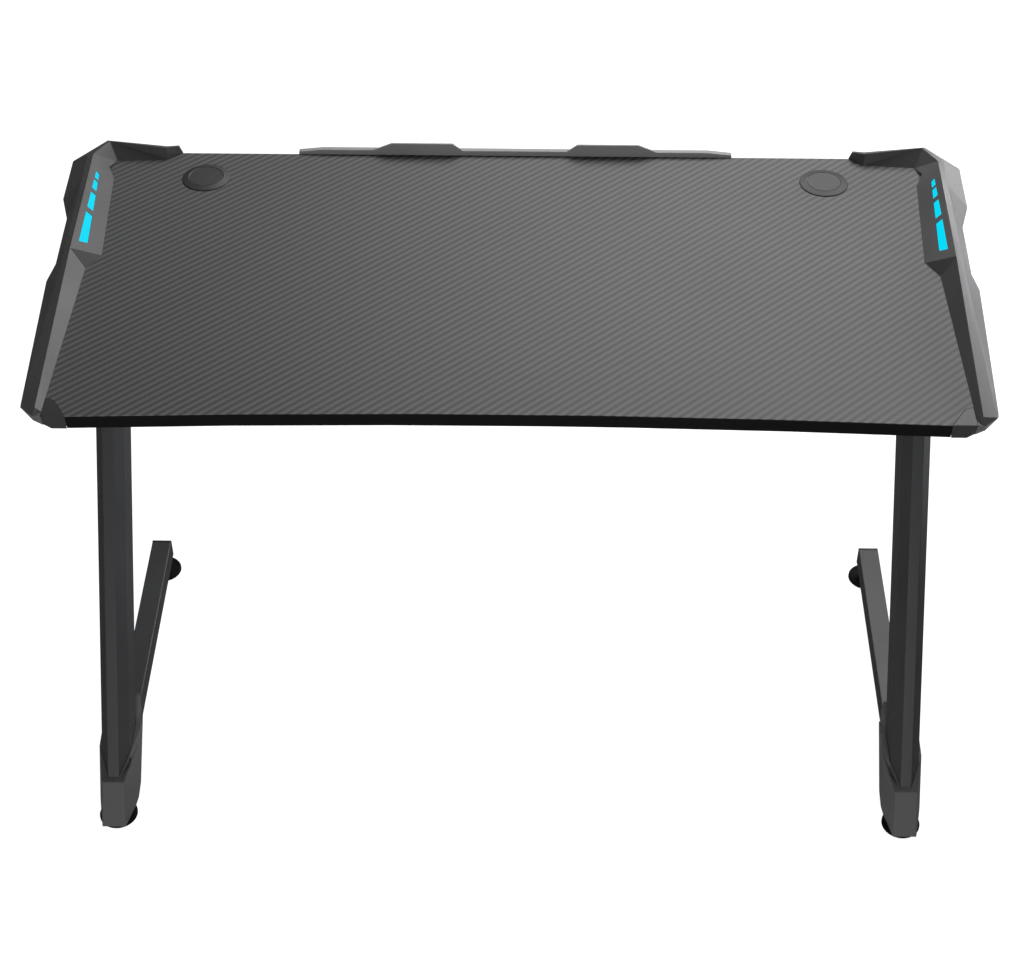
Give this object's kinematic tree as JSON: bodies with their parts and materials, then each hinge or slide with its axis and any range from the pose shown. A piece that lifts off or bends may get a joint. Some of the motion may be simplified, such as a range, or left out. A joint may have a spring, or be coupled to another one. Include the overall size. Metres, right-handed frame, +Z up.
{
  "type": "gaming desk",
  "caption": "Gaming desk with a bowed front edge, faceted side covers with lamp windows, cable holes with lift-off lids, and leaning steel legs on levelling feet.",
  "frame": {"origin": "centre of the bounding box in plan, on the floor under the levelling feet", "axes": "+X towards the sitter's right, +Y away from the sitter towards the back edge, +Z up"},
  "size_m": [1.212, 0.58, 0.775],
  "materials": {
    "board_core": "particle board",
    "laminate": "woven-look decor",
    "edge_band": "matt",
    "cover_plastic": "fine texture",
    "lens": "milky",
    "circuit": "solder mask",
    "frame_paint": "satin powder coat",
    "boot_plastic": "fine texture",
    "foot_black": "matt",
    "trim_plastic": "fine texture",
    "grommet_plastic": "fine texture",
    "plug_plastic": "matt",
    "fastener_steel": "zinc",
    "bush_brass": "turned",
    "box_plastic": "matt",
    "lead_sheath": "matt"
  },
  "bodies": {
    "desk": {"desktop_board": "board_core", "desktop_laminate": "laminate", "front_edge_band": "edge_band", "front_corner_cap_left": "cover_plastic", "front_corner_cap_right": "cover_plastic", "side_cover_left": "cover_plastic", "side_cover_right": "cover_plastic", "lamp_diffuser_left": "lens", "lamp_diffuser_right": "lens", "lamp_light_board_left": "circuit", "lamp_light_board_right": "circuit", "cover_screws": "fastener_steel", "rear_trim": "trim_plastic", "rear_trim_screws": "fastener_steel", "cable_sleeve_left": "grommet_plastic", "cable_sleeve_right": "grommet_plastic", "top_rail_left": "frame_paint", "top_rail_right": "frame_paint", "column_left": "frame_paint", "column_right": "frame_paint", "foot_rail_left": "frame_paint", "foot_rail_right": "frame_paint", "boot_left": "boot_plastic", "boot_right": "boot_plastic", "top_rail_plugs": "plug_plastic", "foot_rail_plug_left": "plug_plastic", "foot_rail_plug_right": "plug_plastic", "cross_beam_front": "frame_paint", "cross_beam_rear": "frame_paint", "beam_end_plates": "frame_paint", "beam_bolts": "fastener_steel", "beam_nuts": "fastener_steel", "desktop_bolts": "fastener_steel", "desktop_inserts": "bush_brass", "foot_bushes": "bush_brass", "controller_box": "box_plastic", "controller_circuit": "circuit", "controller_inlet": "plug_plastic", "controller_screws": "fastener_steel", "lamp_lead_left": "lead_sheath", "lamp_lead_right": "lead_sheath", "lead_clips": "plug_plastic"},
    "cable_lid_left": {"cable_lid_left": "grommet_plastic"},
    "cable_lid_right": {"cable_lid_right": "grommet_plastic"},
    "foot_front_left": {"levelling_foot_front_left": "foot_black"},
    "foot_front_right": {"levelling_foot_front_right": "foot_black"},
    "foot_rear_left": {"levelling_foot_rear_left": "foot_black"},
    "foot_rear_right": {"levelling_foot_rear_right": "foot_black"},
    "lamp_button": {"controller_button": "box_plastic"}
  },
  "joints": [
    {"name": "cable_lid_left_lift", "type": "slide", "parent": "desk", "child": "cable_lid_left", "axis": [0, 0, 1], "range_m": [0, 0.03]},
    {"name": "cable_lid_right_lift", "type": "slide", "parent": "desk", "child": "cable_lid_right", "axis": [0, 0, 1], "range_m": [0, 0.03]},
    {"name": "foot_front_left_level", "type": "slide", "parent": "desk", "child": "foot_front_left", "axis": [0, 0, -1], "range_m": [0, 0.008]},
    {"name": "foot_front_right_level", "type": "slide", "parent": "desk", "child": "foot_front_right", "axis": [0, 0, -1], "range_m": [0, 0.008]},
    {"name": "foot_rear_left_level", "type": "slide", "parent": "desk", "child": "foot_rear_left", "axis": [0, 0, -1], "range_m": [0, 0.008]},
    {"name": "foot_rear_right_level", "type": "slide", "parent": "desk", "child": "foot_rear_right", "axis": [0, 0, -1], "range_m": [0, 0.008]},
    {"name": "lamp_button_press", "type": "slide", "parent": "desk", "child": "lamp_button", "axis": [0, 1, 0], "range_m": [0, 0.001], "stiffness_N_per_m": 300}
  ]
}
